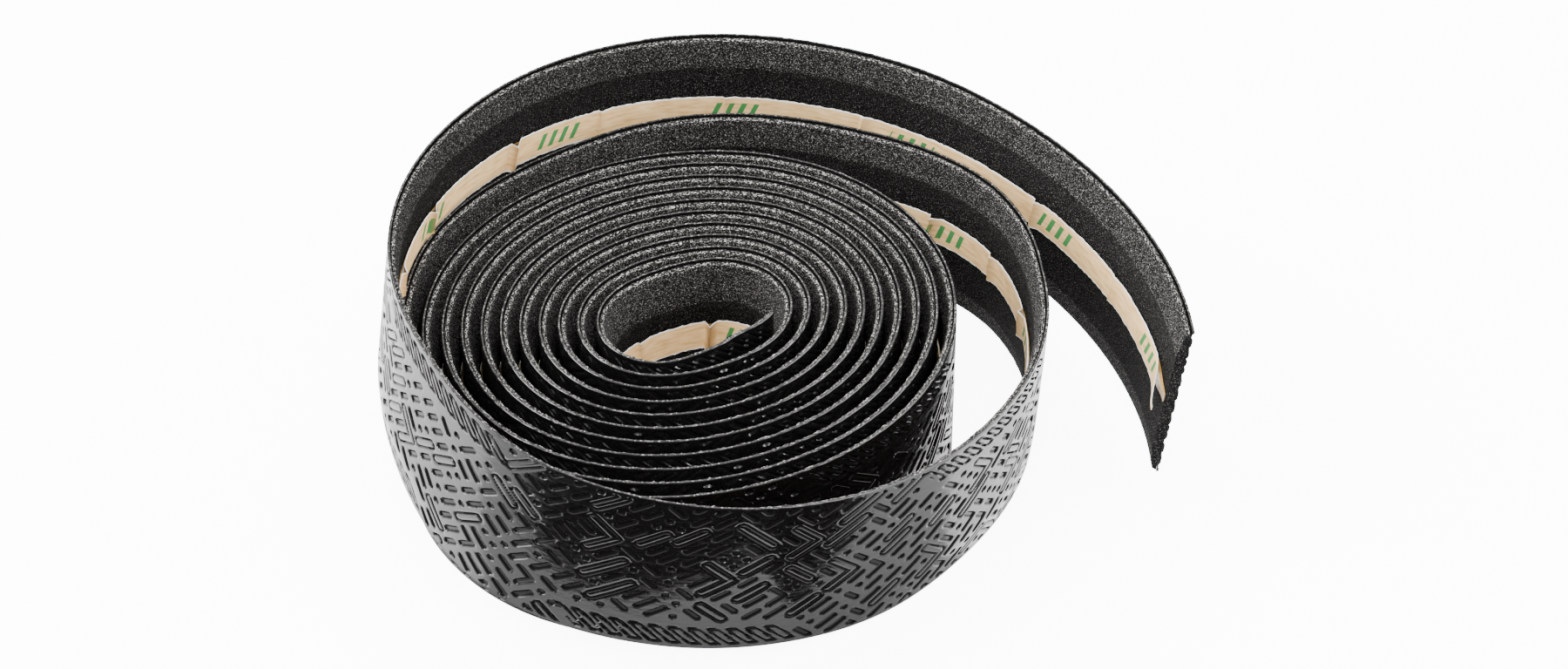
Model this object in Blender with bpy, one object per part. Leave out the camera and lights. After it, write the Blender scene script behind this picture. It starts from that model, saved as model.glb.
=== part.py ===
"""A roll of bicycle handlebar grip tape, standing on its edge.

The tape is a 30 mm wide laminate: an embossed skin on the outside of the roll, a bevelled foam
backing, a strip of adhesive down the middle of the foam and the paper release liner that covers it.
Ten turns are wound tight round an oval hole, with the tape's inner end cutting straight across one
side of it, and two loose turns stand off them. The outermost turn climbs and leans, and its free end
is separate from the roll at a flexure, so that it can swing.

Units are metres. +Z is up, and the origin is under the middle of the object, on the floor.
"""

import math

import bmesh
import bpy
from mathutils import Vector

# The tape's section. Depths are measured inward from the skin's outer face.
TAPE_WIDTH = 0.030
SKIN_THICKNESS = 0.00042
LAYER_GAP = 0.00014
FOAM_THICKNESS = 0.00145
FOAM_EDGE_THICKNESS = 0.00080
FOAM_BEVEL_WIDTH = 0.0050
ADHESIVE_THICKNESS = 0.00010
ADHESIVE_WIDTH = 0.0050
LINER_THICKNESS = 0.00012
LINER_WIDTH = 0.0055
LINER_ABOVE_MIDDLE = 0.0010

# The tight winding. Angles run clockwise from +X, seen from above, and are counted in turns.
START_RADIUS = 0.01128
TURN_PITCH = 0.002874
OVAL_GROWTH = 0.00205
OVAL_DIRECTION = math.radians(-22)
TIGHT_TURNS = 10.25
TAIL_END_TURN = 12.02

# The inner turns lie to the right and back of the outer ones: by this much at the inner end, and
# evenly less until they share a centre.
INNER_DRIFT = (0.0009, 0.0003)
DRIFT_TURNS = 11

# How finely the path is cut into segments, and how close to the flexure a cut may come.
SEGMENTS_PER_TURN = 30
LEANING_FROM_TURN = 10.9
LEANING_SEGMENTS_PER_TURN = 60
FLEXURE_CLEARANCE = 0.2 / LEANING_SEGMENTS_PER_TURN
DIRECTION_STEP = 0.0005
SHARP_ANGLE = math.radians(30)

# How far the tape stands off an even spiral: inside it where the inner end runs straight, and
# outside it in the loose turns: (turn, distance).
SLACK = (
    (0.000, 0.0),
    (0.030, -0.0009),
    (0.070, -0.0018),
    (0.105, -0.0018),
    (0.145, -0.0013),
    (0.200, -0.0009),
    (0.250, -0.0006),
    (0.300, -0.0001),
    (0.340, 0.0),
    (TIGHT_TURNS, 0.0),
    (10.333, 0.0002),
    (10.417, 0.0001),
    (10.500, 0.0004),
    (10.583, 0.0023),
    (10.667, 0.0032),
    (10.750, 0.0058),
    (10.833, 0.0076),
    (10.917, 0.0122),
    (11.000, 0.0106),
    (11.083, 0.0082),
    (11.167, 0.0073),
    (11.250, 0.0066),
    (11.333, 0.0051),
    (11.417, 0.0008),
    (11.500, 0.0003),
    (11.583, 0.0026),
    (11.667, 0.0064),
    (11.750, 0.0098),
    (11.833, 0.0128),
    (11.917, 0.0176),
    (TAIL_END_TURN, 0.0288),
)

# How far the tape's top edge leans towards +X, as a slope: (turn, slope).
LEAN = (
    (10.970, 0.0),
    (11.000, 0.05),
    (11.125, 0.14),
    (11.250, 0.18),
    (11.375, 0.19),
    (11.500, 0.12),
    (11.625, 0.13),
    (11.750, 0.09),
    (11.875, 0.065),
    (TAIL_END_TURN, 0.13),
)

# The flexure in the outermost turn, where the free tail starts.
HINGE_TURN = 11.75
HINGE_GAP = 0.0010


def eased(keys, place):
    """Read a smooth curve through (place, value) keys, level beyond its two ends."""
    if place <= keys[0][0]:
        return keys[0][1]
    if place >= keys[-1][0]:
        return keys[-1][1]
    slopes = []
    for index in range(len(keys)):
        before = keys[max(index - 1, 0)]
        after = keys[min(index + 1, len(keys) - 1)]
        slopes.append((after[1] - before[1]) / (after[0] - before[0]))
    right = next(index for index, key in enumerate(keys) if key[0] > place)
    left = right - 1
    span = keys[right][0] - keys[left][0]
    part = (place - keys[left][0]) / span
    value = keys[left][1] * (1 + 2 * part) * (1 - part) ** 2
    value += keys[right][1] * part ** 2 * (3 - 2 * part)
    value += span * slopes[left] * part * (1 - part) ** 2
    value -= span * slopes[right] * part ** 2 * (1 - part)
    return value


def radius_at(turn):
    """Distance of the skin's outer face from the winding's centre."""
    angle = turn * math.tau
    oval = OVAL_GROWTH * math.cos(2 * (angle - OVAL_DIRECTION))
    return START_RADIUS + TURN_PITCH * turn + oval + eased(SLACK, turn)


def plan_point(turn):
    """The skin's place seen from above."""
    angle = turn * math.tau
    radius = radius_at(turn)
    drift = max(1 - turn / DRIFT_TURNS, 0)
    x = INNER_DRIFT[0] * drift + radius * math.cos(angle)
    y = INNER_DRIFT[1] * drift - radius * math.sin(angle)
    return x, y


def tape_path(turns):
    """Follow the tape: its middle, its direction across (up) and its direction out, at each turn.

    The tape can't bend in its own plane, so it stays square to the way it leans, and the height of a
    leaning stretch follows from its lean.
    """
    path = []
    height = TAPE_WIDTH / 2
    previous = None
    for turn in turns:
        x, y = plan_point(turn)
        lean = eased(LEAN, turn)
        if previous is not None:
            height -= 0.5 * (lean + previous[1]) * (x - previous[0])
        across = Vector((lean, 0, 1)).normalized()
        ahead = Vector(plan_point(turn + DIRECTION_STEP)) - Vector(plan_point(turn - DIRECTION_STEP))
        along = Vector((ahead.x, ahead.y, -lean * ahead.x)).normalized()
        outward = across.cross(along).normalized()
        path.append((Vector((x, y, height)), across, outward))
        previous = (x, lean)
    return path


def turn_stops():
    """The turns at which the tape is cut into segments, for the roll and for its free tail."""
    hinge_length = radius_at(HINGE_TURN) * math.tau
    half_gap = 0.5 * HINGE_GAP / hinge_length
    coarse_count = math.ceil(LEANING_FROM_TURN * SEGMENTS_PER_TURN)
    even = [index / SEGMENTS_PER_TURN for index in range(coarse_count)]
    fine_start = coarse_count / SEGMENTS_PER_TURN
    fine_count = math.ceil((TAIL_END_TURN - fine_start) * LEANING_SEGMENTS_PER_TURN)
    even += [fine_start + index / LEANING_SEGMENTS_PER_TURN for index in range(fine_count)]
    even.append(TAIL_END_TURN)
    roll = [turn for turn in even if turn < HINGE_TURN - FLEXURE_CLEARANCE]
    roll.append(HINGE_TURN - half_gap)
    tail = [HINGE_TURN + half_gap]
    tail += [turn for turn in even if turn > HINGE_TURN + FLEXURE_CLEARANCE]
    return roll, tail


def rectangle(width, outer_depth, thickness, middle=0.0):
    """A flat layer's section, as (height across the tape, depth) corners."""
    top = middle + width / 2
    bottom = middle - width / 2
    inner_depth = outer_depth + thickness
    return ((bottom, outer_depth), (top, outer_depth), (top, inner_depth), (bottom, inner_depth))


def foam_section(outer_depth):
    """The foam's section: flat outside, and bevelled to a thin edge inside."""
    edge = TAPE_WIDTH / 2
    flat = edge - FOAM_BEVEL_WIDTH
    return (
        (-edge, outer_depth),
        (edge, outer_depth),
        (edge, outer_depth + FOAM_EDGE_THICKNESS),
        (flat, outer_depth + FOAM_THICKNESS),
        (-flat, outer_depth + FOAM_THICKNESS),
        (-edge, outer_depth + FOAM_EDGE_THICKNESS),
    )


def make_material(name, colour, roughness):
    material = bpy.data.materials.new(name)
    material.use_nodes = True
    shader = material.node_tree.nodes["Principled BSDF"]
    shader.inputs["Base Color"].default_value = (*colour, 1)
    shader.inputs["Roughness"].default_value = roughness
    shader.inputs["Metallic"].default_value = 0
    return material


def sweep(name, section, path, shift, material):
    """Carry a closed section along the path and cap both ends."""
    mesh = bpy.data.meshes.new(name)
    build = bmesh.new()
    rings = []
    for middle, across, outward in path:
        corners = [middle + shift + across * height - outward * depth for height, depth in section]
        rings.append([build.verts.new(corner) for corner in corners])
    size = len(section)
    for ring, following in zip(rings, rings[1:]):
        for corner in range(size):
            after = (corner + 1) % size
            low, high = (corner, after) if section[corner][0] <= section[after][0] else (after, corner)
            build.faces.new((ring[low], ring[high], following[high]))
            build.faces.new((ring[low], following[high], following[low]))
    build.faces.new(rings[0])
    build.faces.new(rings[-1])
    bmesh.ops.recalc_face_normals(build, faces=build.faces)
    build.to_mesh(mesh)
    build.free()
    mesh.shade_smooth()
    mesh.set_sharp_from_angle(angle=SHARP_ANGLE)
    mesh.materials.append(material)
    piece = bpy.data.objects.new(name, mesh)
    bpy.context.collection.objects.link(piece)
    return piece


def centring_shift(path):
    """The move that brings the middle of the object's floor area to the origin."""
    edges = []
    for middle, across, _ in path:
        for side in (-1, 1):
            edges.append(middle + across * side * TAPE_WIDTH / 2)
    low_x = min(point.x for point in edges)
    high_x = max(point.x for point in edges)
    low_y = min(point.y for point in edges)
    high_y = max(point.y for point in edges)
    return Vector((-(low_x + high_x) / 2, -(low_y + high_y) / 2, 0))


def build_tape():
    foam_depth = SKIN_THICKNESS + LAYER_GAP
    adhesive_depth = foam_depth + FOAM_THICKNESS + LAYER_GAP
    liner_depth = adhesive_depth + ADHESIVE_THICKNESS + LAYER_GAP
    layers = (
        (
            "grip_skin",
            rectangle(TAPE_WIDTH, 0, SKIN_THICKNESS),
            make_material("embossed_skin", (0.012, 0.012, 0.013), 0.35),
        ),
        (
            "foam_backing",
            foam_section(foam_depth),
            make_material("foam", (0.05, 0.05, 0.05), 0.95),
        ),
        (
            "adhesive_strip",
            rectangle(ADHESIVE_WIDTH, adhesive_depth, ADHESIVE_THICKNESS, LINER_ABOVE_MIDDLE),
            make_material("adhesive", (0.55, 0.38, 0.14), 0.30),
        ),
        (
            "release_liner",
            rectangle(LINER_WIDTH, liner_depth, LINER_THICKNESS, LINER_ABOVE_MIDDLE),
            make_material("liner_paper", (0.80, 0.70, 0.52), 0.75),
        ),
    )
    roll_turns, tail_turns = turn_stops()
    whole = tape_path(roll_turns + tail_turns)
    shift = centring_shift(whole)
    roll_path = whole[: len(roll_turns)]
    tail_path = whole[len(roll_turns):]
    for name, section, material in layers:
        sweep(name + "_roll", section, roll_path, shift, material)
        sweep(name + "_tail", section, tail_path, shift, material)


for old in list(bpy.data.objects):
    bpy.data.objects.remove(old, do_unlink=True)

build_tape()
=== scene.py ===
"""Looks of a roll of handlebar grip tape.

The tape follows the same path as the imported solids. Its skin is debossed, its foam grained and its
paper liner creased, all as geometry, in a grid laid out along the tape (s) and across it (v).
Units are metres. +Z is up.
"""

import bisect
import math

import bpy
import numpy as np
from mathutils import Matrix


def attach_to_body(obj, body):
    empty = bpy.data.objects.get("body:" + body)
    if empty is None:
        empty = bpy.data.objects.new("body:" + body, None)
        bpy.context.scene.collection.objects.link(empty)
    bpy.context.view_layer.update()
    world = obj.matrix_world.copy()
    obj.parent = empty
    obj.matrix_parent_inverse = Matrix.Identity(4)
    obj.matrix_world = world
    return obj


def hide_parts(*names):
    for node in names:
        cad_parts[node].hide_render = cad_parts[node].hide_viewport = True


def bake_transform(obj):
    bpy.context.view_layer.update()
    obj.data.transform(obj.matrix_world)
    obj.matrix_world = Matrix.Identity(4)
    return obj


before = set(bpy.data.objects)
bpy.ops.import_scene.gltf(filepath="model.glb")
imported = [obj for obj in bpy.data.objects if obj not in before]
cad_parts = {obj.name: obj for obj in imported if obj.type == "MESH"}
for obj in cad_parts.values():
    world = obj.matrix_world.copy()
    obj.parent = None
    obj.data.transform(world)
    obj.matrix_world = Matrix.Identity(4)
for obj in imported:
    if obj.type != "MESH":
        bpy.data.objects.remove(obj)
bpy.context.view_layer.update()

MM = 0.001

# The tape's section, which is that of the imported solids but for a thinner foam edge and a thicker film
# of adhesive. Depths run inward from the skin's outer face.
TAPE_WIDTH = 30 * MM
SKIN_THICKNESS = 0.42 * MM
FOAM_OUTER_DEPTH = 0.56 * MM
FOAM_THICKNESS = 1.45 * MM
FOAM_EDGE_THICKNESS = 0.60 * MM
FOAM_BEVEL_WIDTH = 5.0 * MM
ADHESIVE_DEPTH = 2.12 * MM
ADHESIVE_THICKNESS = 0.16 * MM
ADHESIVE_WIDTH = 5.0 * MM
LINER_DEPTH = 2.36 * MM
LINER_THICKNESS = 0.12 * MM
LINER_WIDTH = 5.5 * MM
LINER_ABOVE_MIDDLE = 1.0 * MM

# The path. Angles run clockwise from +X, seen from above, and are counted in turns.
START_RADIUS = 11.28 * MM
TURN_PITCH = 2.874 * MM
OVAL_GROWTH = 2.05 * MM
OVAL_DIRECTION = math.radians(-22)
TIGHT_TURNS = 10.25
END_TURN = 12.02
PATH_POINTS = 24001

# The inner turns lie to the right and back of the outer ones, by this much at the inner end.
INNER_DRIFT = (0.9 * MM, 0.3 * MM)
DRIFT_TURNS = 11

# How far the tape stands off an even spiral, in millimetres: (turn, distance).
SLACK = (
    (0.0, 0.0), (0.030, -0.9), (0.070, -1.8), (0.105, -1.8), (0.145, -1.3), (0.200, -0.9),
    (0.250, -0.6), (0.300, -0.1), (0.340, 0.0),
    (TIGHT_TURNS, 0.0), (10.333, 0.2), (10.417, 0.1), (10.500, 0.4), (10.583, 2.3), (10.667, 3.2),
    (10.750, 5.8), (10.833, 7.6), (10.917, 12.2), (11.000, 10.6), (11.083, 8.2), (11.167, 7.3),
    (11.250, 6.6), (11.333, 5.1), (11.417, 0.8), (11.500, 0.3), (11.583, 2.6), (11.667, 6.4),
    (11.750, 9.8), (11.833, 12.8), (11.917, 17.6), (END_TURN, 28.8),
)

# How far the tape's top edge leans towards +X, as a slope: (turn, slope).
LEAN = (
    (10.970, 0.0), (11.000, 0.05), (11.125, 0.14), (11.250, 0.18), (11.375, 0.19), (11.500, 0.12),
    (11.625, 0.13), (11.750, 0.09), (11.875, 0.065), (END_TURN, 0.13),
)

# How far the lower edge draws in where the outermost turn bends most: (turn, millimetres). It draws in
# from CURL_TOP down, and would be all the way in at CURL_FULL, just past the edge.
CURL = (
    (10.97, 0.0), (11.03, 0.7), (11.08, 0.9), (11.14, 0.1), (11.20, 0.0), (11.33, 0.0), (11.39, 0.7),
    (11.45, 1.3), (11.53, 0.0),
)
CURL_TOP = -7.5 * MM
CURL_FULL = -15.5 * MM

# Where the skin and the foam are split into pieces, in turns. The tape is free beyond ROLL_END.
TIGHT_END = 9.80
FIRST_LOOSE_END = 10.75
ROLL_END = 11.63
PARTS = (
    ("tight_turns", 0, TIGHT_END),
    ("first_loose_turn", TIGHT_END, FIRST_LOOSE_END),
    ("outer_turn", FIRST_LOOSE_END, ROLL_END),
    ("free_end", ROLL_END, END_TURN),
)


def eased(keys, places):
    """Read a smooth curve through (place, value) keys, level beyond its two ends."""
    stops = np.array([key[0] for key in keys])
    values = np.array([key[1] for key in keys])
    order = np.arange(len(keys))
    before = np.maximum(order - 1, 0)
    after = np.minimum(order + 1, len(keys) - 1)
    slopes = (values[after] - values[before]) / (stops[after] - stops[before])
    left = np.clip(np.searchsorted(stops, places, side="right") - 1, 0, len(keys) - 2)
    span = stops[left + 1] - stops[left]
    part = np.clip((places - stops[left]) / span, 0, 1)
    curve = values[left] * (1 + 2 * part) * (1 - part) ** 2
    curve += values[left + 1] * part**2 * (3 - 2 * part)
    curve += span * slopes[left] * part * (1 - part) ** 2
    curve -= span * slopes[left + 1] * part**2 * (1 - part)
    return curve


def smooth(low, high, x):
    """Rise smoothly from 0 at low to 1 at high."""
    t = np.clip((x - low) / (high - low), 0, 1)
    return t * t * (3 - 2 * t)


class TapePath:
    """The tape's path, read by the length of tape from its inner end.

    The tape can't bend in its own plane, so the height of a leaning stretch follows from its lean.
    """

    def __init__(self):
        self.turn = np.linspace(0, END_TURN, PATH_POINTS)
        angle = self.turn * math.tau
        radius = START_RADIUS + TURN_PITCH * self.turn
        radius = radius + OVAL_GROWTH * np.cos(2 * (angle - OVAL_DIRECTION))
        radius = radius + eased(SLACK, self.turn) * MM
        drift = np.maximum(1 - self.turn / DRIFT_TURNS, 0)
        x = INNER_DRIFT[0] * drift + radius * np.cos(angle)
        y = INNER_DRIFT[1] * drift - radius * np.sin(angle)
        lean = eased(LEAN, self.turn)
        drop = 0.5 * (lean[1:] + lean[:-1]) * np.diff(x)
        z = TAPE_WIDTH / 2 - np.concatenate(([0], np.cumsum(drop)))
        self.across = np.stack((lean, np.zeros_like(lean), np.ones_like(lean)), 1)
        self.across /= np.linalg.norm(self.across, axis=1)[:, None]
        along = np.stack((np.gradient(x), np.gradient(y), -lean * np.gradient(x)), 1)
        self.outward = np.cross(self.across, along)
        self.outward /= np.linalg.norm(self.outward, axis=1)[:, None]
        self.middle = np.stack((x, y, z), 1)
        edges = np.concatenate([self.middle + side * self.across * TAPE_WIDTH / 2 for side in (-1, 1)])
        self.centre = -(edges[:, :2].min(0) + edges[:, :2].max(0)) / 2
        self.middle[:, :2] += self.centre
        steps = np.linalg.norm(np.diff(self.middle, axis=0), axis=1)
        self.s = np.concatenate(([0], np.cumsum(steps)))

    def s_at(self, turn):
        return float(np.interp(turn, self.turn, self.s))

    def turn_at(self, s):
        return np.interp(s, self.s, self.turn)

    def place(self, s, v, depth):
        """World points at tape length s, height v across it and a depth below its outer face."""
        parts = []
        for table in (self.middle, self.across, self.outward):
            parts.append(np.stack([np.interp(s, self.s, table[:, axis]) for axis in range(3)], -1))
        middle, across, outward = parts
        return middle + across * v[..., None] - outward * depth[..., None]


path = TapePath()
TAPE_LENGTH = path.s_at(END_TURN)


def curl(s, v):
    """How far the lower edge of the outermost turn draws in."""
    return eased(CURL, path.turn_at(s)) * MM * smooth(CURL_TOP, CURL_FULL, v)


# The smooth noise repeats after this many bumps along the tape and across it.
NOISE_COLUMNS = 4096
NOISE_ROWS = 64


def smooth_noise(s, v, pitch, seed):
    """Random bumps from -1 to 1, smooth over the pitch, the same wherever s and v are the same."""
    rng = np.random.default_rng(seed)
    table = rng.uniform(-1, 1, (NOISE_COLUMNS, NOISE_ROWS))
    column = np.asarray(s) / pitch
    row = np.asarray(v) / pitch + NOISE_ROWS // 2
    left = np.floor(column).astype(int)
    below = np.floor(row).astype(int)
    along = smooth(0, 1, column - left)
    up = smooth(0, 1, row - below)

    def bump_at(i, j):
        return table[(left + i) % NOISE_COLUMNS, (below + j) % NOISE_ROWS]

    start = bump_at(0, 0) * (1 - up) + bump_at(0, 1) * up
    end = bump_at(1, 0) * (1 - up) + bump_at(1, 1) * up
    return start * (1 - along) + end * along


# ---------------------------------------------------------------- materials


def grey(value):
    """A slightly warm grey."""
    return (value * 1.02, value, value * 0.95)


class Paint:
    """A Principled material, with helpers that add nodes laid out in the tape's own coordinates."""

    def __init__(self, name, colour, roughness, specular):
        self.material = bpy.data.materials.new(name)
        self.material.use_nodes = True
        self.tree = self.material.node_tree
        self.shader = self.tree.nodes["Principled BSDF"]
        self.shader.inputs["Base Color"].default_value = (*colour, 1)
        self.shader.inputs["Roughness"].default_value = roughness
        self.shader.inputs["Specular IOR Level"].default_value = specular
        self.tape = self.attribute("tape").outputs["Vector"]

    def link(self, start, end):
        self.tree.links.new(start, end)

    def drive(self, name, source):
        """Let a node's output set one of the shader's sockets."""
        self.link(source, self.shader.inputs[name])

    def attribute(self, name):
        node = self.tree.nodes.new("ShaderNodeAttribute")
        node.attribute_name = name
        return node

    def noise(self, scale, detail, roughness=0.55):
        """Noise with its scale along, across and through the tape, in bumps a metre."""
        mapping = self.tree.nodes.new("ShaderNodeMapping")
        mapping.inputs["Scale"].default_value = scale
        self.link(self.tape, mapping.inputs["Vector"])
        texture = self.tree.nodes.new("ShaderNodeTexNoise")
        texture.inputs["Scale"].default_value = 1
        texture.inputs["Detail"].default_value = detail
        texture.inputs["Roughness"].default_value = roughness
        self.link(mapping.outputs["Vector"], texture.inputs["Vector"])
        return texture.outputs["Fac"]

    def ramp(self, factor, stops):
        """A colour ramp through (position, colour) stops."""
        node = self.tree.nodes.new("ShaderNodeValToRGB")
        elements = node.color_ramp.elements
        elements[0].position = stops[0][0]
        elements[1].position = stops[-1][0]
        elements[0].color = (*stops[0][1], 1)
        elements[1].color = (*stops[-1][1], 1)
        for position, colour in stops[1:-1]:
            elements.new(position).color = (*colour, 1)
        self.link(factor, node.inputs["Fac"])
        return node.outputs["Color"]

    def remap(self, factor, taken, given):
        """The factor, from one (low, high) range to another."""
        node = self.tree.nodes.new("ShaderNodeMapRange")
        node.inputs["From Min"].default_value = taken[0]
        node.inputs["From Max"].default_value = taken[1]
        node.inputs["To Min"].default_value = given[0]
        node.inputs["To Max"].default_value = given[1]
        self.link(factor, node.inputs["Value"])
        return node.outputs["Result"]

    def calc(self, operation, *values):
        """A sum on constants and other nodes' outputs."""
        node = self.tree.nodes.new("ShaderNodeMath")
        node.operation = operation
        for socket, value in zip(node.inputs, values):
            if isinstance(value, (int, float)):
                socket.default_value = value
            else:
                self.link(value, socket)
        return node.outputs["Value"]

    def mix(self, factor, colour, other):
        """A socket's colour, blended towards a constant one."""
        node = self.tree.nodes.new("ShaderNodeMix")
        node.data_type = "RGBA"
        self.link(factor, node.inputs["Factor"])
        self.link(colour, node.inputs["A"])
        node.inputs["B"].default_value = (*other, 1)
        return node.outputs["Result"]

    def bump(self, height, distance, strength):
        node = self.tree.nodes.new("ShaderNodeBump")
        node.inputs["Strength"].default_value = strength
        node.inputs["Distance"].default_value = distance
        self.link(height, node.inputs["Height"])
        self.drive("Normal", node.outputs["Normal"])


def skin_material(name, slope_shine, sunk_shine):
    """Black semi-gloss polyurethane with faint streaks along the tape.

    Its shine drops to slope_shine on the slopes of the deboss, and is sunk_shine on the floors.
    """
    paint = Paint(name, grey(0.003), roughness=0.3, specular=0.5)
    streaks = paint.noise((200, 1700, 1), detail=4)
    paint.drive("Roughness", paint.remap(streaks, (0.3, 0.7), (0.07, 0.26)))
    shine = paint.ramp(
        paint.attribute("relief").outputs["Fac"],
        (
            (0.1, (0.5,) * 3),
            (0.4, (slope_shine,) * 3),
            (0.82, (slope_shine / 3,) * 3),
            (1, (sunk_shine,) * 3),
        ),
    )
    paint.drive("Specular IOR Level", shine)
    fine = paint.noise((1500, 3600, 1), detail=3)
    waves = paint.noise((110, 420, 1), detail=3)
    paint.bump(paint.calc("MULTIPLY_ADD", waves, 8, fine), 0.01 * MM, strength=0.8)
    return paint.material


def skin_edge_material():
    """Where the knife cut the skin: paler, with lint on it, whose palest specks are painted glints."""
    paint = Paint("skin_cut_edge", grey(0.03), roughness=0.7, specular=0.3)
    lint_and_glints = paint.noise((2600, 2600, 2600), detail=4, roughness=0.7)
    # Painted highlight: the palest specks stand in for glints on the lint.
    stops = ((0.46, grey(0.006)), (0.56, grey(0.025)), (0.66, grey(0.38)))
    paint.drive("Base Color", paint.ramp(lint_and_glints, stops))
    return paint.material


def foam_material(name, greys, sparse, scale):
    """Granular foam: cells of about a quarter of a millimetre, some of them catching the light.

    greys are the dark, middle and light tones. The light cells are fewer as sparse rises above 0.5.
    """
    dark, mid, light = greys
    paint = Paint(name, grey(mid), roughness=0.9, specular=0.08)
    cells = paint.tree.nodes.new("ShaderNodeTexVoronoi")
    cells.inputs["Scale"].default_value = 5000
    paint.link(paint.tape, cells.inputs["Vector"])
    grain = paint.noise(scale, detail=4, roughness=0.75)
    stops = ((sparse - 0.11, grey(dark)), (sparse, grey(mid)), (sparse + 0.09, grey(light)))
    paint.drive("Base Color", paint.ramp(grain, stops))
    paint.bump(cells.outputs["Distance"], 0.12 * MM, strength=0.9)
    return paint.material


# The bars printed on the liner, and the groups that they stand in.
BAR_INK = (0.0, 0.20, 0.05)
BAR_STRIDE = 2.1 * MM
BAR_SHARE = 0.45
BAR_GROUP_STRIDE = 31 * MM
BAR_GROUP_SHARE = 0.26
BAR_LEAN = 0.35
BAR_HALF_LENGTH = 1.5 * MM
INK_STRENGTH = 0.95

# Painted shade: the brown that darkens the liner in its folds.
FOLD_PAINTED_SHADE = (0.30, 0.17, 0.07)
FOLD_PAINTED_SHADE_STRENGTH = 0.9


def liner_material():
    """Kraft paper with groups of slanted green bars printed on it, and painted shade in its folds."""
    paint = Paint("liner_paper", (0.78, 0.64, 0.44), roughness=0.7, specular=0.3)
    fibres = paint.noise((300, 1500, 1), detail=5)
    stops = ((0.3, (0.64, 0.37, 0.14)), (0.5, (0.85, 0.55, 0.24)), (0.72, (0.95, 0.68, 0.36)))
    paper = paint.ramp(fibres, stops)
    split = paint.tree.nodes.new("ShaderNodeSeparateXYZ")
    paint.link(paint.tape, split.inputs["Vector"])
    along = split.outputs["X"]
    across = split.outputs["Y"]

    def repeated(stride, share):
        """1 over the first share of each stride along the slanted print, and 0 over the rest."""
        return paint.calc("LESS_THAN", paint.calc("FRACT", paint.calc("DIVIDE", slanted, stride)), share)

    slanted = paint.calc("SUBTRACT", along, paint.calc("MULTIPLY", across, BAR_LEAN))
    bars = repeated(BAR_STRIDE, BAR_SHARE)
    group = repeated(BAR_GROUP_STRIDE, BAR_GROUP_SHARE)
    off_middle = paint.calc("ABSOLUTE", paint.calc("SUBTRACT", across, LINER_ABOVE_MIDDLE))
    band = paint.calc("LESS_THAN", off_middle, BAR_HALF_LENGTH)
    in_group = paint.calc("MULTIPLY", bars, group)
    printed = paint.calc("MULTIPLY", in_group, paint.calc("MULTIPLY", band, INK_STRENGTH))
    inked = paint.mix(printed, paper, BAR_INK)
    # Painted shade: the paper is browned by how far it is folded up.
    fold_shading = paint.calc("MULTIPLY", paint.attribute("relief").outputs["Fac"], FOLD_PAINTED_SHADE_STRENGTH)
    paint.drive("Base Color", paint.mix(fold_shading, inked, FOLD_PAINTED_SHADE))
    paint.bump(fibres, 0.08 * MM, strength=0.5)
    return paint.material


def torn_material():
    """The white fibres along the liner's torn edges."""
    paint = Paint("torn_paper", (0.9, 0.88, 0.84), roughness=0.85, specular=0.2)
    fibres = paint.noise((2500, 2500, 1), detail=4)
    stops = ((0.35, (0.78, 0.70, 0.58)), (0.6, (0.92, 0.90, 0.86)))
    paint.drive("Base Color", paint.ramp(fibres, stops))
    return paint.material


def adhesive_material():
    """Amber glue film."""
    paint = Paint("adhesive", (0.30, 0.16, 0.04), roughness=0.22, specular=0.6)
    lumps = paint.noise((700, 700, 1), detail=3)
    stops = ((0.35, (0.16, 0.08, 0.02)), (0.65, (0.40, 0.24, 0.07)))
    paint.drive("Base Color", paint.ramp(lumps, stops))
    paint.bump(lumps, 0.1 * MM, strength=0.6)
    return paint.material


SKIN = skin_material("debossed_skin", slope_shine=0.07, sunk_shine=0.13)

# Between the tight turns only the glints of the deboss are seen, so there it keeps its shine.
SKIN_BETWEEN_TURNS = skin_material("debossed_skin_between_turns", slope_shine=0.9, sunk_shine=0.9)
SKIN_EDGE = skin_edge_material()

# The foam's grain is about even, but the knife draws it out along the cut edge.
FOAM_GRAIN = (4800, 5000, 5000)
DRAWN_GRAIN = (2600, 6500, 6500)
# The flat middle is a darker copy of the skived foam: painted shade, where it faces sideways, away from
# the light.
FOAM_FLAT_PAINTED_SHADE = foam_material("foam_flat_painted_shade", (0.001, 0.004, 0.15), sparse=0.565, scale=FOAM_GRAIN)
FOAM_BEVEL = foam_material("foam_skived", (0.001, 0.009, 0.27), sparse=0.55, scale=FOAM_GRAIN)
FOAM_CUT = foam_material("foam_cut_edge", (0.002, 0.015, 0.58), sparse=0.54, scale=DRAWN_GRAIN)
LINER = liner_material()
TORN = torn_material()
ADHESIVE = adhesive_material()


# ---------------------------------------------------------------- meshes


def face_corners(table):
    """A table's values at the four corners of each face between two rings: a, b, c and d in order."""
    turned = np.roll(table, -1, 1)
    return table[:-1], turned[:-1], turned[1:], table[1:]


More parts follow.
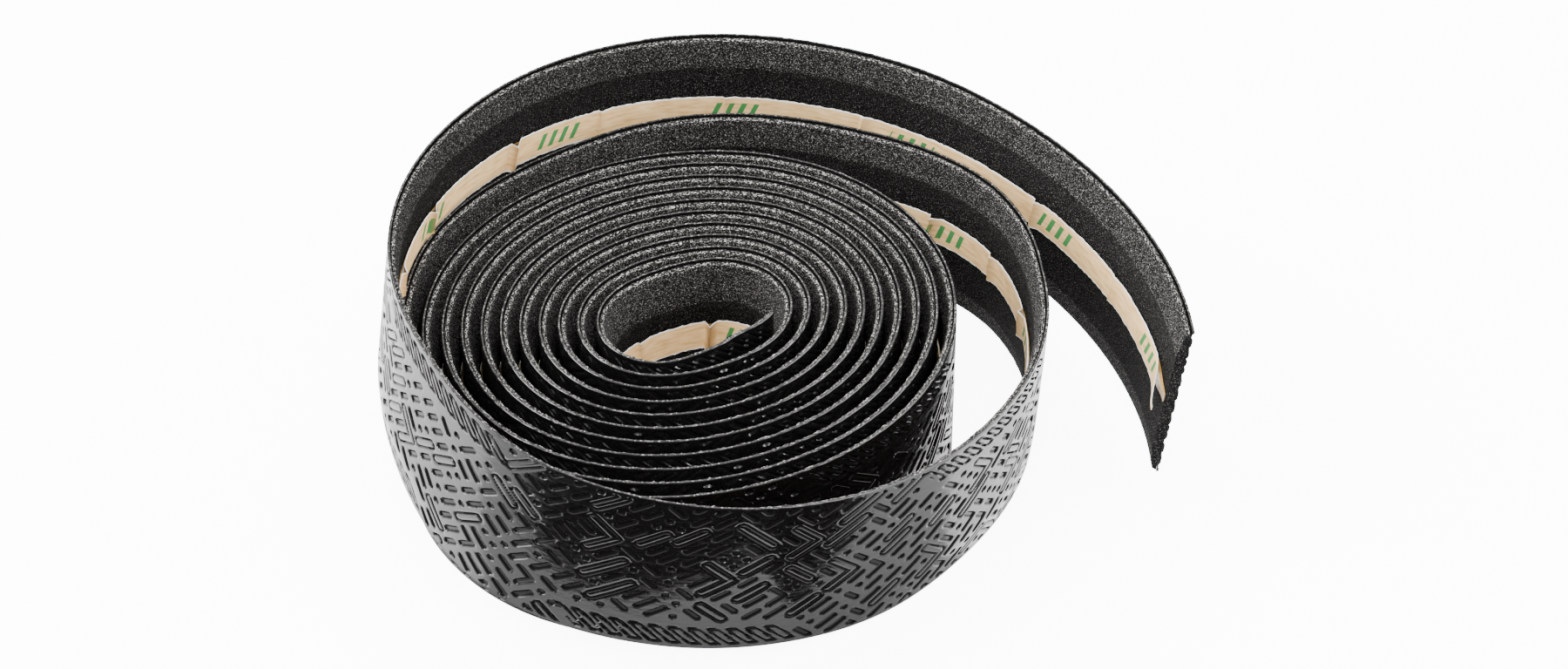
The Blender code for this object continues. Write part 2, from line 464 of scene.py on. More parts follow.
def ring_mesh(name, s, heights, depths, finishes, materials, sharp_angle, relief=None):
    """A closed strip: rings of points at each length s, joined along the tape and capped.

    heights and depths are arrays of rings by points. finishes gives, for each side of the ring, the
    index of its material. relief is a value from 0 to 1 for each point, which the materials read: how
    far a point of the skin is sunk, or a point of the liner is folded up, which the liner's material
    turns into painted shade.
    """
    rings, points = heights.shape
    lengths = np.repeat(s[:, None], points, 1)
    places = path.place(lengths, heights, depths)
    index = np.arange(rings * points).reshape(rings, points)

    # Each face is split along the diagonal on which the depth changes less.
    a, b, c, d = face_corners(index)
    depth_a, depth_b, depth_c, depth_d = face_corners(depths)
    swap = (np.abs(depth_a - depth_c) > np.abs(depth_b - depth_d))[..., None]
    first = np.where(swap, np.stack((a, b, d), -1), np.stack((a, b, c), -1))
    second = np.where(swap, np.stack((b, c, d), -1), np.stack((a, c, d), -1))
    triangles = np.concatenate((first.reshape(-1, 3), second.reshape(-1, 3)))
    finish = np.tile(finishes, 2 * (rings - 1))

    # The faces are turned over if they look in at the middle of the strip.
    place_a, place_b, place_c, place_d = face_corners(places)
    normals = np.cross(place_b - place_a, place_d - place_a)
    hubs = places.mean(1)
    hubs = (hubs[:-1] + hubs[1:])[:, None] / 2
    if np.sum(normals * ((place_a + place_c) / 2 - hubs)) < 0:
        triangles = triangles[:, ::-1]
        start_cap, end_cap = index[0], index[-1][::-1]
    else:
        start_cap, end_cap = index[0][::-1], index[-1]

    mesh = bpy.data.meshes.new(name)
    mesh.vertices.add(rings * points)
    mesh.vertices.foreach_set("co", places.reshape(-1).astype(np.float32))
    corners = np.concatenate((triangles.reshape(-1), start_cap, end_cap))
    mesh.loops.add(len(corners))
    mesh.loops.foreach_set("vertex_index", corners.astype(np.int32))
    triangle_corners = 3 * len(triangles)
    cap_starts = [triangle_corners, triangle_corners + points]
    starts = np.concatenate((np.arange(0, triangle_corners, 3), cap_starts))
    mesh.polygons.add(len(starts))
    mesh.polygons.foreach_set("loop_start", starts.astype(np.int32))
    mesh.update(calc_edges=True)
    finish = np.concatenate((finish, [finishes[-1]] * 2))
    mesh.polygons.foreach_set("material_index", finish.astype(np.int32))
    mesh.validate()
    for material in materials:
        mesh.materials.append(material)
    tape = mesh.attributes.new("tape", "FLOAT_VECTOR", "POINT")
    coordinates = np.stack((lengths, heights, depths), -1)
    tape.data.foreach_set("vector", coordinates.reshape(-1).astype(np.float32))
    if relief is not None:
        share = mesh.attributes.new("relief", "FLOAT", "POINT")
        share.data.foreach_set("value", relief.reshape(-1).astype(np.float32))
    mesh.shade_smooth()
    mesh.set_sharp_from_angle(angle=math.radians(sharp_angle))
    piece = bpy.data.objects.new(name, mesh)
    bpy.context.scene.collection.objects.link(piece)
    return piece


# ---------------------------------------------------------------- debossed skin

# The pattern lies on the diagonals of this grid, so that its edges follow the mesh. Its cells are
# CELL_LINES grid lines apart along the diagonals, and DEBOSS is how deep it is pressed.
GRID_ALONG = 0.36 * MM
GRID_ACROSS = 0.28 * MM
CELL_LINES = 10
DEBOSS = 0.30 * MM
PLAIN_RIM_ROWS = 2
PATTERN_SEED = 11

# How many cells are tried before the tape's start, after its end and beyond its edges.
CELLS_BEFORE = 4
CELLS_AFTER = 6
CELLS_BEYOND = 16

# Figures that the pattern is made of: name, cells that it takes and how often it is tried first.
FIGURES = (
    ("ring_long", ((0, 0), (1, 0), (2, 0), (3, 0)), 1),
    ("ring", ((0, 0), (1, 0), (2, 0)), 3),
    ("ring_corner", ((0, 0), (1, 0), (2, 0), (0, 1), (0, 2)), 3),
    ("corner", ((0, 0), (1, 0), (0, 1)), 4),
    ("slot", ((0, 0), (1, 0)), 6),
    ("pill", ((0, 0), (1, 0)), 8),
    ("dot", ((0, 0),), 8),
)

# The figures' sizes, in grid lines. A bar runs on past the middles of its end cells by its overhang.
DOT_RADIUS = 2.5
PILL_HALF_WIDTH = 2
PILL_OVERHANG = 2
PILL_ROUNDING = 1.4
SLOT_HALF_WIDTH = 2
SLOT_OVERHANG = 1.5
CORNER_HALF_WIDTH = 1.9
CORNER_OVERHANG = 2
RING_HALF_WIDTH = 3
RING_ROUNDING = 2.4
RING_CORNER_OVERHANG = 4
RING_CORNER_ROUNDING = 2
GROOVE_HALF_WIDTH = 1.3
GROOVE_DEPTH = 0.8

# Bands of slanted outlines beside the tape's edges: (turn where one starts, side of the middle).
BANDS = (
    (10.03, 1), (10.16, -1), (10.28, 1), (10.42, -1), (11.02, 1), (11.19, -1), (11.345, 1), (11.40, -1),
    (11.56, 1), (11.7, -1), (11.84, 1),
)

# Each band's length, its distance from the tape's middle, and the plain margin round it.
BAND_LENGTH = 34 * MM
BAND_MIDDLE = 12.35 * MM
BAND_HALF_HEIGHT = 1.6 * MM
BAND_MARGIN = 1.3 * MM
BAR_PITCH = 2.9 * MM
BAR_HALF_WIDTH = 0.8 * MM
BAR_SLANT = 1.15
BAR_ROUNDING = 0.4 * MM

# A bar's outline is this deep, as a share of DEBOSS that is cut off at 1, and rises at this slope.
BAR_GROOVE_DEPTH = 1.1
BAR_GROOVE_SLOPE = 0.3 * MM

# In the tight turns the bands along the upper edge repeat at this pitch.
TIGHT_BAND_PITCH = 58 * MM

BAND_STARTS = {side: [path.s_at(turn) for turn, at in BANDS if at == side] for side in (1, -1)}
BAND_STARTS[1] = list(np.arange(0, BAND_STARTS[1][0] - BAND_LENGTH, TIGHT_BAND_PITCH)) + BAND_STARTS[1]


def in_band(s, v):
    """Whether a place is in one of the bands, or right beside it."""
    side = 1 if v > 0 else -1
    if abs(side * v - BAND_MIDDLE) > BAND_HALF_HEIGHT + BAND_MARGIN:
        return False
    before = bisect.bisect(BAND_STARTS[side], s + BAND_MARGIN) - 1
    return before >= 0 and s < BAND_STARTS[side][before] + BAND_LENGTH + BAND_MARGIN


def pattern_figures():
    """Fill a diagonal grid of cells with figures: a list of (name, m, n, turned, mirrored)."""
    rng = np.random.default_rng(PATTERN_SEED)
    cell_along = CELL_LINES * GRID_ALONG / 2
    cell_across = CELL_LINES * GRID_ACROSS / 2
    reach = int(TAPE_LENGTH / (2 * cell_along)) + CELLS_AFTER
    taken = set()
    figures = []

    def out_of_bands(m, n):
        return not in_band((m + n) * cell_along, (m - n) * cell_across)

    def on_tape(m, n):
        near = abs(m - n) * cell_across < TAPE_WIDTH / 2 + cell_across
        return near and -cell_along < (m + n) * cell_along < TAPE_LENGTH + cell_along

    names = [figure for figure in FIGURES for _ in range(figure[2])]
    for total in range(-CELLS_BEFORE, 2 * reach):
        for n in range(-CELLS_BEYOND, reach + CELLS_BEYOND):
            m = total - n
            if (m, n) in taken or not on_tape(m, n) or not out_of_bands(m, n):
                continue
            # The last name is the dot, which always fits.
            order = list(rng.permutation(len(names))) + [len(names) - 1]
            for pick in order:
                name, cells, _ = names[pick]
                turned = bool(rng.integers(2))
                mirrored = bool(rng.integers(2))
                placed = []
                for p, q in cells:
                    q = -q if mirrored else q
                    p, q = (q, p) if turned else (p, q)
                    placed.append((m + p, n + q))
                if all(cell not in taken and out_of_bands(*cell) for cell in placed):
                    taken.update(placed)
                    figures.append((name, m, n, turned, mirrored))
                    break
    return figures


def pill_distance(p, q, low, high, half_width):
    """Distance to a round-ended bar from low to high along p; negative inside."""
    beyond = np.maximum(np.maximum(low - p, p - high), 0)
    return np.hypot(beyond, q) - half_width


def box_distance(p, q, low, high, half_width, rounding):
    """Distance to a bar with rounded corners from low to high along p; negative inside."""
    dp = np.abs(p - (low + high) / 2) - (high - low) / 2 + rounding
    dq = np.abs(q) - half_width + rounding
    outside = np.hypot(np.maximum(dp, 0), np.maximum(dq, 0))
    return outside + np.minimum(np.maximum(dp, dq), 0) - rounding


def figure_depth(name, p, q):
    """Share of the full depth at p, q, measured in grid lines from the first cell's middle."""
    cell = CELL_LINES

    def sunk(distance):
        return np.clip(0.5 - distance, 0, 1)

    def groove(distance):
        return np.clip(GROOVE_HALF_WIDTH - np.abs(distance), 0, GROOVE_DEPTH)

    def ring_arm(along, off, end, rounding):
        return box_distance(along, off, -RING_HALF_WIDTH, end, RING_HALF_WIDTH, rounding)

    if name == "dot":
        return sunk(np.hypot(p, q) - DOT_RADIUS)
    if name == "pill":
        end = cell + PILL_OVERHANG
        return sunk(box_distance(p, q, -PILL_OVERHANG, end, PILL_HALF_WIDTH, PILL_ROUNDING))
    if name == "slot":
        return sunk(pill_distance(p, q, -SLOT_OVERHANG, cell + SLOT_OVERHANG, SLOT_HALF_WIDTH))
    if name == "corner":
        end = cell + CORNER_OVERHANG
        first = pill_distance(p, q, 0, end, CORNER_HALF_WIDTH)
        second = pill_distance(q, p, 0, end, CORNER_HALF_WIDTH)
        return sunk(np.minimum(first, second))
    if name == "ring":
        return groove(ring_arm(p, q, 2 * cell + RING_HALF_WIDTH, RING_ROUNDING))
    if name == "ring_long":
        return groove(ring_arm(p, q, 3 * cell + RING_HALF_WIDTH, RING_ROUNDING))
    end = 2 * cell + RING_CORNER_OVERHANG
    first = ring_arm(p, q, end, RING_CORNER_ROUNDING)
    second = ring_arm(q, p, end, RING_CORNER_ROUNDING)
    return groove(np.minimum(first, second))


class Deboss:
    """The debossed pattern's depth on a grid over the whole tape."""

    def __init__(self):
        self.columns = int(round(TAPE_LENGTH / GRID_ALONG)) + 1
        self.half_rows = int(TAPE_WIDTH / GRID_ACROSS / 2)
        self.rows = 2 * self.half_rows + 1
        self.depth = np.zeros((self.columns, self.rows), np.float32)
        for name, m, n, turned, mirrored in pattern_figures():
            self.add_figure(name, m, n, turned, mirrored)
        heights = (np.arange(self.rows) - self.half_rows)[None, :] * GRID_ACROSS
        for side, starts in BAND_STARTS.items():
            for start in starts:
                self.add_band(start, heights - side * BAND_MIDDLE)
        from_middle = np.abs(np.arange(self.rows) - self.half_rows)
        self.depth[:, from_middle > self.half_rows - PLAIN_RIM_ROWS] = 0

    def add_figure(self, name, m, n, turned, mirrored):
        """Stamp a figure whose first cell is m, n."""
        column = (m + n) * CELL_LINES // 2
        row = (m - n) * CELL_LINES // 2 + self.half_rows
        reach = 5 * CELL_LINES
        low_column = max(column - reach, 0)
        high_column = min(column + reach, self.columns)
        low_row = max(row - reach, 0)
        high_row = min(row + reach, self.rows)
        if low_column >= high_column or low_row >= high_row:
            return
        along = np.arange(low_column, high_column)[:, None] - column
        across = np.arange(low_row, high_row)[None, :] - row
        p, q = along + across, along - across
        if turned:
            p, q = q, p
        if mirrored:
            q = -q
        part = self.depth[low_column:high_column, low_row:high_row]
        stamp = figure_depth(name, p.astype(float), q.astype(float))
        np.maximum(part, stamp, out=part, casting="unsafe")

    def add_band(self, start, across):
        """Stamp a row of slanted outlines, from a length along the tape."""
        first = max(int((start - 2 * BAR_PITCH) / GRID_ALONG), 0)
        last = int((start + BAND_LENGTH + 2 * BAR_PITCH) / GRID_ALONG)
        part = self.depth[first:last]
        s = (first + np.arange(len(part)))[:, None] * GRID_ALONG
        along = s - start - BAR_SLANT * across
        offset = np.mod(along, BAR_PITCH) - BAR_PITCH / 2
        edge = box_distance(
            offset, across, -BAR_HALF_WIDTH, BAR_HALF_WIDTH, BAND_HALF_HEIGHT, BAR_ROUNDING
        )
        bars = np.clip(BAR_GROOVE_DEPTH - np.abs(edge) / BAR_GROOVE_SLOPE, 0, 1)
        bars = np.where((along > 0) & (along < BAND_LENGTH), bars, 0)
        np.maximum(part, bars, out=part, casting="unsafe")


deboss = Deboss()

# The skin's cut edge is rounded: (distance in from the tape's edge, depth).
SKIN_EDGE_POINTS = ((0.06 * MM, 0.05 * MM), (0, 0.16 * MM), (0, SKIN_THICKNESS))
SKIN_SHARP_ANGLE = 24

# The skin isn't quite even, and its cut edge is a little ragged: (height, pitch).
SKIN_WAVES = (0.04 * MM, 7 * MM)
SKIN_RAGGED = (0.05 * MM, 0.7 * MM)

# Between the tight turns, only the rows near the upper edge are in view. The rest are COARSE_ROWS apart.
DETAILED_FROM_ROW = 35
COARSE_ROWS = 20


def skin_piece(name, start_turn, end_turn, tight):
    """The skin from one turn to another."""
    first = int(round(path.s_at(start_turn) / GRID_ALONG))
    last = int(round(path.s_at(end_turn) / GRID_ALONG))
    columns = np.arange(first, last + 1)
    s = np.minimum(columns * GRID_ALONG, TAPE_LENGTH)
    rows = np.arange(1, deboss.rows - 1) - deboss.half_rows
    if tight:
        detailed = rows > DETAILED_FROM_ROW
        rows = np.concatenate((rows[~detailed][::COARSE_ROWS], rows[detailed]))
    share = deboss.depth[columns][:, rows + deboss.half_rows]
    face = slice(0, len(rows))
    half = TAPE_WIDTH / 2
    edge = [(half - inset, depth) for inset, depth in SKIN_EDGE_POINTS]
    back = [(half / 3, SKIN_THICKNESS), (-half / 3, SKIN_THICKNESS)]
    closing = edge + back + [(-height, depth) for height, depth in edge[::-1]]
    heights = np.concatenate((rows * GRID_ACROSS, [height for height, _ in closing]))
    heights = np.tile(heights, (len(s), 1))
    depths = np.tile([depth for _, depth in closing], (len(s), 1))
    depths = np.concatenate((share * DEBOSS, depths), 1)
    ragged, pitch = SKIN_RAGGED
    top_edge = slice(len(rows), len(rows) + len(edge))
    heights[:, top_edge] += (ragged * smooth_noise(s, 0 * s, pitch, seed=5))[:, None]
    lengths = np.repeat(s[:, None], heights.shape[1], 1)
    waves, pitch = SKIN_WAVES
    depths[:, face] += (waves * (1 + smooth_noise(lengths, heights, pitch, seed=6)))[:, face]
    depths += curl(lengths, heights)
    relief = np.zeros_like(heights)
    relief[:, face] = share
    skin_finish, edge_finish = range(2)
    finishes = [skin_finish] * (len(rows) + 1) + [edge_finish] + [skin_finish] * (len(closing) - 2)
    materials = [SKIN_BETWEEN_TURNS if tight else SKIN, SKIN_EDGE]
    return ring_mesh(name, s, heights, depths, finishes, materials, SKIN_SHARP_ANGLE, relief)


# ---------------------------------------------------------------- foam


# The foam is this much narrower than the skin at each edge, and the knife leaves its edges slanting
# down towards the middle of the roll.
FOAM_DROP = 0.42 * MM
CUT_SLOPE = 0.55
CUT_STEPS = 4
FOAM_SHARP_ANGLE = 50

# The foam is divided at this step, both along the tape and across it.
FOAM_STEP = 0.5 * MM

# In the tight turns the foam beside the liner swells against the next turn, below the bevel in view.
SWOLLEN_DEPTH = 2.66 * MM
TIGHT_FOAM_IN_VIEW = 3.2 * MM
TIGHT_FOAM_STEP = 0.45 * MM

# The foam's surface: (height, pitch). Its cut edges are ragged, with a few taller tufts, and the noise
# on them is finer through the tape than along it.
GRAIN = (0.045 * MM, 0.42 * MM)
FOAM_WAVES = (0.06 * MM, 5 * MM)
RAGGED_PITCH = 0.33 * MM
TUFT_PITCH = 0.6 * MM
TUFTS_ABOVE = 0.35
THROUGH_STRETCH = 3
RAGGED_TOP = 0.09 * MM
TUFTS_TOP = 0.30 * MM
RAGGED_INSIDE = 0.08 * MM
RAGGED_BOTTOM = 0.08 * MM


def foam_piece(name, start_turn, end_turn, tight):
    """The foam from one turn to another, with a grained inner face and ragged cut edges."""
    s_low, s_high = path.s_at(start_turn), path.s_at(end_turn)
    s = np.linspace(s_low, s_high, int(round((s_high - s_low) / FOAM_STEP)) + 1)
    half = TAPE_WIDTH / 2 - FOAM_DROP
    flat = TAPE_WIDTH / 2 - FOAM_BEVEL_WIDTH
    thin = FOAM_OUTER_DEPTH + FOAM_EDGE_THICKNESS
    thick = FOAM_OUTER_DEPTH + FOAM_THICKNESS
    swollen = flat - 2 * MM
    if tight:
        in_view = np.arange(half, half - TIGHT_FOAM_IN_VIEW, -TIGHT_FOAM_STEP)
        inner = np.concatenate((in_view, [flat + 1 * MM, swollen, flat - 4 * MM, -flat, -half]))
    else:
        bevel = np.linspace(half, flat, int((half - flat) / FOAM_STEP) + 1)
        middle = np.linspace(flat, -flat, int(2 * flat / FOAM_STEP) + 1)
        inner = np.concatenate((bevel, middle[1:-1], -bevel[::-1]))
    slope = np.clip((half - np.abs(inner)) / (half - flat), 0, 1)
    inner_depth = thin + (thick - thin) * slope
    if tight:
        inner_depth[inner == swollen] = SWOLLEN_DEPTH
    inner = np.sign(inner) * np.minimum(np.abs(inner), half - FOAM_EDGE_THICKNESS * CUT_SLOPE)

    # The section runs down the upper cut edge, across the inner face and up the lower cut edge.
    cut_depths = np.linspace(FOAM_OUTER_DEPTH, thin, CUT_STEPS + 1)[:-1]
    slant = (cut_depths - FOAM_OUTER_DEPTH) * CUT_SLOPE
    heights = np.concatenate((half - slant, inner, slant[::-1] - half))
    depths = np.concatenate((cut_depths, inner_depth, cut_depths[::-1]))
    flat_finish, bevel_finish, cut_finish = range(3)
    finishes = [flat_finish] + [cut_finish] * (CUT_STEPS - 1)
    finishes += [bevel_finish if abs(height) > flat - 1e-6 else flat_finish for height in inner[:-1]]
    finishes += [cut_finish] * CUT_STEPS + [flat_finish]
    heights = np.tile(heights, (len(s), 1))
    depths = np.tile(depths, (len(s), 1))
    lengths = np.repeat(s[:, None], heights.shape[1], 1)
    last_inner = CUT_STEPS + len(inner) - 1

    grain = smooth_noise(lengths, heights, GRAIN[1], seed=21) * GRAIN[0]
    waves = smooth_noise(lengths, heights, FOAM_WAVES[1], seed=22) * FOAM_WAVES[0]
    face = slice(CUT_STEPS + 1, last_inner)
    depths[:, face] += (grain + waves)[:, face]
    through = depths * THROUGH_STRETCH
    ragged = smooth_noise(lengths, through, RAGGED_PITCH, seed=23)
    tufts = np.maximum(smooth_noise(lengths, through, TUFT_PITCH, seed=24) - TUFTS_ABOVE, 0)
    top = slice(1, CUT_STEPS + 1)
    heights[:, top] += (RAGGED_TOP * ragged + TUFTS_TOP * tufts)[:, top]
    depths[:, CUT_STEPS] += RAGGED_INSIDE * ragged[:, CUT_STEPS]
    bottom = slice(last_inner, heights.shape[1] - 1)
    heights[:, bottom] += np.abs(RAGGED_BOTTOM * ragged)[:, bottom]
    depths += curl(lengths, heights)
    materials = [FOAM_FLAT_PAINTED_SHADE, FOAM_BEVEL, FOAM_CUT]
    return ring_mesh(name, s, heights, depths, finishes, materials, FOAM_SHARP_ANGLE)


# ---------------------------------------------------------------- adhesive and liner


# Where the liner buckles, in turns, and how high each fold stands, in millimetres.
CREASES = (
    (0.12, 0.5), (0.4, 0.6), (0.60, 0.5), (0.775, 1.5), (0.93, 0.4), (10.835, 0.5), (10.881, 1.0),
    (10.921, 0.7), (10.962, 0.9), (11.10, 0.8), (11.27, 0.9), (11.42, 0.7), (11.515, 0.8),
    (11.569, 1.0), (11.644, 1.3), (11.70, 0.4), (11.765, 0.3), (11.83, 0.35), (11.917, 0.8),
    (11.965, 0.3),
)

# A fold this high, in millimetres, has the full painted shade.
SHADED_HEIGHT = 1.3

# A fold rises sharply over the first length and falls away over the second. It lies a little slanted.
FOLD_RISE = 0.3 * MM
FOLD_FALL = 1.9 * MM
FOLD_FALL_POWER = 1.3
FOLD_SLANT = 0.08

# The turns over which the room beside the liner closes and opens again, and the share that is left.
HOLE_CLOSES = (0.75, 1.0)
LOOSE_OPENS = (10.7, 10.8)
CROWDED_ROOM = 0.1

# The liner is divided finely where it is in view, and coarsely where other turns hide it.
LINER_FINE_STEP = 0.32 * MM
LINER_COARSE_STEP = 1.2 * MM
LINER_HIDDEN_TURNS = (1.2, 10.55)
LINER_SHARP_ANGLE = 35

# Its torn edges: how wide their white fibres show, and how ragged they are (height, pitch).
TORN_WIDTH = 0.22 * MM
EDGE_RAGGED = (0.12 * MM, 0.5 * MM)
LINER_WAVES = (0.05 * MM, 4 * MM)

# At the tape's end the liner peels up, and is torn to a point, over these lengths.
PEEL_LENGTH = 9 * MM
PEEL_HEIGHT = 1.2 * MM
POINT_LENGTH = 6 * MM
POINT_NARROWING = 0.88


def lift_room(s):
    """How much of a fold's height there is room for: all of it only where the turns stand apart."""
    turn = path.turn_at(s)
    apart = np.maximum(1 - smooth(*HOLE_CLOSES, turn), smooth(*LOOSE_OPENS, turn))
    return CROWDED_ROOM + (1 - CROWDED_ROOM) * apart


def liner_piece(name, start_turn, end_turn):
    """The release liner, folded up in sharp creases and torn along its edges."""
    s_low, s_high = path.s_at(start_turn), path.s_at(end_turn)
    stops = [s_low]
    while stops[-1] < s_high - 0.4 * MM:
        hidden = LINER_HIDDEN_TURNS[0] < path.turn_at(stops[-1]) < LINER_HIDDEN_TURNS[1]
        stops.append(stops[-1] + (LINER_COARSE_STEP if hidden else LINER_FINE_STEP))
    s = np.array(stops)
    s[-1] = s_high
    half = LINER_WIDTH / 2
    between = np.linspace(half - 0.9 * MM, -half + 0.9 * MM, 6)
    across = np.concatenate(([half, half - TORN_WIDTH], between, [-half + TORN_WIDTH, -half]))
    count = len(across)
    heights = np.tile(np.concatenate((across, across[::-1])), (len(s), 1))
    depths = np.tile(np.repeat((LINER_DEPTH + LINER_THICKNESS, LINER_DEPTH), count), (len(s), 1))
    lengths = np.repeat(s[:, None], 2 * count, 1)

    waves, pitch = LINER_WAVES
    lift = waves * (1 + smooth_noise(lengths, heights, pitch, seed=31))
    # Each point's share of the painted shade in the folds, which goes to the liner's material as its
    # relief.
    fold_shading = np.zeros_like(lengths)
    for turn, height in CREASES:
        off = lengths - path.s_at(turn) - FOLD_SLANT * heights
        rise = np.clip(1 + off / FOLD_RISE, 0, 1)
        fold = rise * np.clip(1 - off / FOLD_FALL, 0, 1) ** FOLD_FALL_POWER
        lift += height * MM * fold
        fold_shading = np.maximum(fold_shading, fold * height / SHADED_HEIGHT)
    lift *= lift_room(lengths)
    to_end = TAPE_LENGTH - lengths
    lift += PEEL_HEIGHT * smooth(PEEL_LENGTH, 0.5 * MM, to_end) ** 1.5
    narrow = 1 - POINT_NARROWING * smooth(POINT_LENGTH, 0.3 * MM, to_end)
    heights = (heights + half) * narrow - half

    ragged, pitch = EDGE_RAGGED
    tear = np.zeros_like(heights)
    tear[:, 0] = tear[:, -1] = smooth_noise(s, 0 * s, pitch, seed=32) * ragged
    tear[:, count - 1] = tear[:, count] = smooth_noise(s, 0 * s, pitch, seed=33) * ragged
    heights = heights + tear + LINER_ABOVE_MIDDLE
    depths = depths + lift + curl(lengths, heights)
    paper_finish, torn_finish = range(2)
    papery = [paper_finish] * (count - 3)
    finishes = [torn_finish] + papery + [torn_finish] * 3 + papery + [torn_finish] * 2
    return ring_mesh(name, s, heights, depths, finishes, [LINER, TORN], LINER_SHARP_ANGLE, fold_shading)


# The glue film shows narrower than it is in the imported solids, and its edges wander: (share, pitch).
GLUE_STEP = 1.2 * MM
GLUE_SHARE = 0.74
GLUE_WANDER = (0.05, 2 * MM)
GLUE_SHARP_ANGLE = 60

# Near the tape's end it narrows, and swells into a bead.
GLUE_END_NARROWING = 0.55
GLUE_BEAD = 0.35 * MM


def adhesive_piece(name, start_turn, end_turn):
    """The glue film between the foam and its liner."""
    s_low, s_high = path.s_at(start_turn), path.s_at(end_turn)
    s = np.linspace(s_low, s_high, int(round((s_high - s_low) / GLUE_STEP)) + 1)
    across = np.linspace(ADHESIVE_WIDTH / 2, -ADHESIVE_WIDTH / 2, 7)
    count = len(across)
    layers = (ADHESIVE_DEPTH + ADHESIVE_THICKNESS, ADHESIVE_DEPTH)
    heights = np.tile(np.concatenate((across, across[::-1])), (len(s), 1))
    depths = np.tile(np.repeat(layers, count), (len(s), 1))
    lengths = np.repeat(s[:, None], 2 * count, 1)
    to_end = TAPE_LENGTH - lengths
    wander, pitch = GLUE_WANDER
    heights *= GLUE_SHARE + wander * smooth_noise(lengths, heights, pitch, seed=41)
    heights *= 1 - GLUE_END_NARROWING * smooth(7 * MM, 2 * MM, to_end)
    bead = smooth(9 * MM, 4 * MM, to_end) * (1 - smooth(3.5 * MM, 0, to_end))
    depths[:, :count] += GLUE_BEAD * bead[:, :count]
    heights += LINER_ABOVE_MIDDLE
    depths += curl(lengths, heights)
    return ring_mesh(name, s, heights, depths, [0] * 2 * count, [ADHESIVE], GLUE_SHARP_ANGLE)


# ---------------------------------------------------------------- pieces


def attach(piece, layer, free):
    """Put a piece on the roll, or leave it free with its transform applied, and hide the solid it stands
    for.
    """
    if free:
        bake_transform(piece)
        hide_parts(layer + "_tail")
    else:
        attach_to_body(piece, "roll")
        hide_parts(layer + "_roll")


for part, start, end in PARTS:
    free = part == "free_end"
    tight = part == "tight_turns"
    skin = skin_piece("skin_" + part, start, end, tight)
    attach(skin, "grip_skin", free)
    foam = foam_piece("foam_" + part, start, end, tight)
    attach(foam, "foam_backing", free)

for part, start, end in (("roll", 0, ROLL_END), ("free_end", ROLL_END, END_TURN)):
    free = part == "free_end"
    attach(adhesive_piece("adhesive_" + part, start, end), "adhesive_strip", free)
    liner = liner_piece("liner_" + part, start, end)
    attach(liner, "release_liner", free)
    # The glossy skin around it would otherwise pick up its colour.
    liner.visible_glossy = False


# ---------------------------------------------------------------- floor, lights and camera


def lay_card(name, centre, size, height, colour, glow, camera=False, diffuse=False):
    """A flat card on the floor, with its size and colour, and which rays see it besides reflections."""
    bpy.ops.mesh.primitive_plane_add(size=1, location=(*centre, height))
    card = bpy.context.object
    card.name = name
    card.scale = (*size, 1)
    material = bpy.data.materials.new(name + "_paint")
    material.use_nodes = True
    shader = material.node_tree.nodes["Principled BSDF"]
    shader.inputs["Base Color"].default_value = (colour, colour, colour, 1)
    shader.inputs["Roughness"].default_value = 0.9
    shader.inputs["Specular IOR Level"].default_value = 0
    shader.inputs["Emission Color"].default_value = (1, 1, 1, 1)
    shader.inputs["Emission Strength"].default_value = glow
    card.data.materials.append(material)
    card.visible_camera = camera
    card.visible_glossy = not camera
    card.visible_diffuse = diffuse
    card.visible_shadow = False


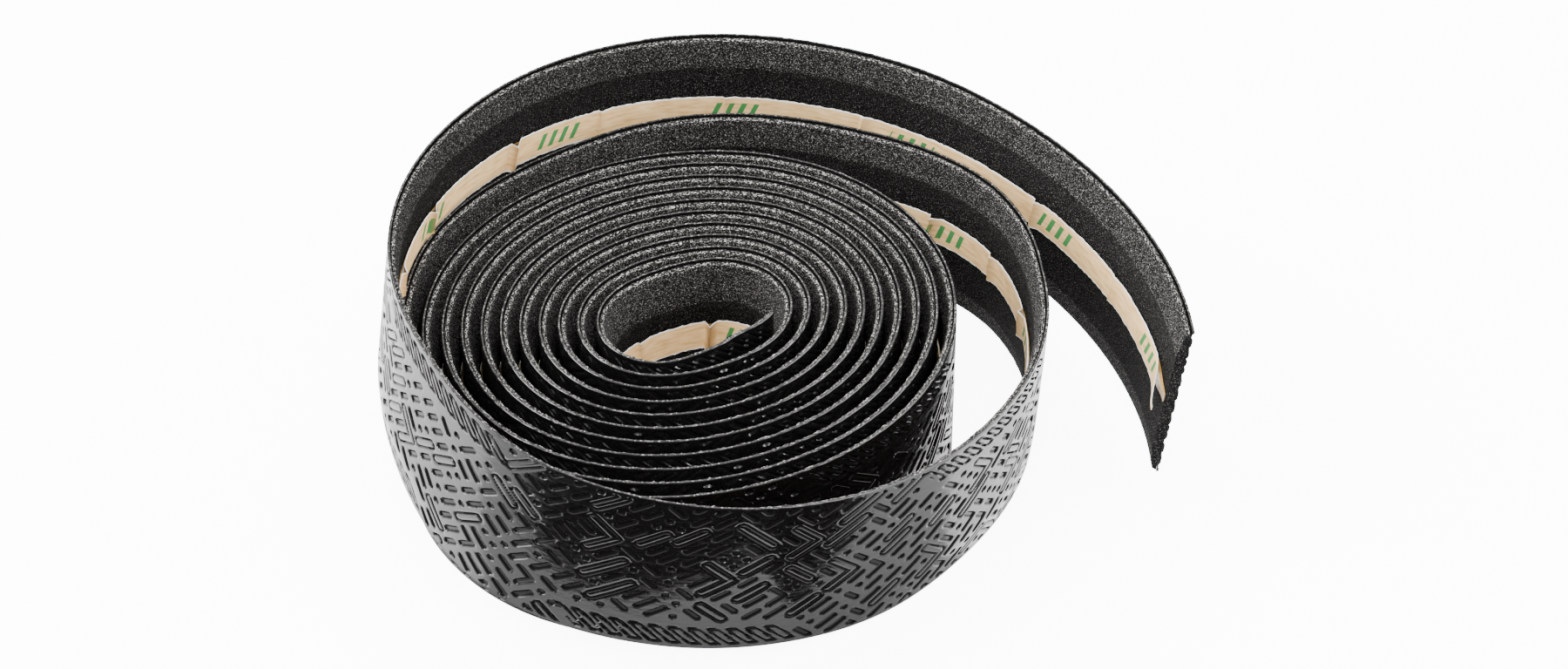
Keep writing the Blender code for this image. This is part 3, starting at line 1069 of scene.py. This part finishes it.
def make_stage():
    """The floor, the grey card that bounces light up, and the cards that only the skin reflects."""
    lay_card("floor", (0, 0), (6, 6), -0.06 * MM, 0.85, 9, camera=True)
    lay_card("floor_bounce", (0, 0), (6, 6), -0.12 * MM, 0.5, 0, diffuse=True)
    lay_card("white_left", (-0.15, 0.08), (0.19, 0.26), -0.04 * MM, 0.8, 0.95)
    lay_card("white_right", (0.1355, 0.09), (0.213, 0.24), -0.04 * MM, 0.8, 1.6)
    lay_card("black_front", (-0.022, -0.194), (0.125, 0.25), -0.02 * MM, 0.002, 0)
    lay_card("black_front_right", (0.022, -0.1), (0.028, 0.09), -0.03 * MM, 0.002, 0)


def make_light(name, place, target, size, power):
    """A soft box at a place, turned to a target; power is in watts."""
    data = bpy.data.lights.new(name, "AREA")
    data.shape = "RECTANGLE"
    data.size, data.size_y = size
    data.energy = power
    light = bpy.data.objects.new(name, data)
    light.location = place
    direction = np.array(target) - np.array(place)
    yaw = math.atan2(-direction[0], direction[1])
    tilt = math.atan2(math.hypot(direction[0], direction[1]), -direction[2])
    light.rotation_euler = (tilt, 0, yaw)
    bpy.context.scene.collection.objects.link(light)


make_stage()
make_light("box_left", (-0.75, 0.05, 0.45), (0, 0, 0.01), (0.7, 0.9), 32)
make_light("box_right", (0.75, 0.05, 0.55), (0, 0, 0.01), (0.7, 0.9), 16)
make_light("box_top", (0.0, 0.25, 1.1), (0, 0, 0), (0.9, 0.6), 18)
make_light("box_front", (0.0, -0.75, 0.95), (0, 0, 0), (0.34, 0.18), 14)

world = bpy.data.worlds.new("studio")
world.use_nodes = True
world.node_tree.nodes["Background"].inputs["Color"].default_value = (1, 1, 1, 1)
world.node_tree.nodes["Background"].inputs["Strength"].default_value = 1.1
bpy.context.scene.world = world

# The camera stands in front of the roll and looks down at it. Its place is measured from the winding's
# centre, and it is tilted this far up from looking straight down.
CAMERA_RIGHT = 15.19 * MM
CAMERA_FORWARD = 516.72 * MM
CAMERA_HEIGHT = 516.0 * MM
CAMERA_TILT = math.radians(46.5)

camera_data = bpy.data.cameras.new("camera")
camera_data.sensor_width = 36
camera_data.lens = 106.76
camera = bpy.data.objects.new("camera", camera_data)
camera.location = (path.centre[0] + CAMERA_RIGHT, path.centre[1] - CAMERA_FORWARD, CAMERA_HEIGHT)
camera.rotation_euler = (CAMERA_TILT, 0, 0)
bpy.context.scene.collection.objects.link(camera)
bpy.context.scene.camera = camera
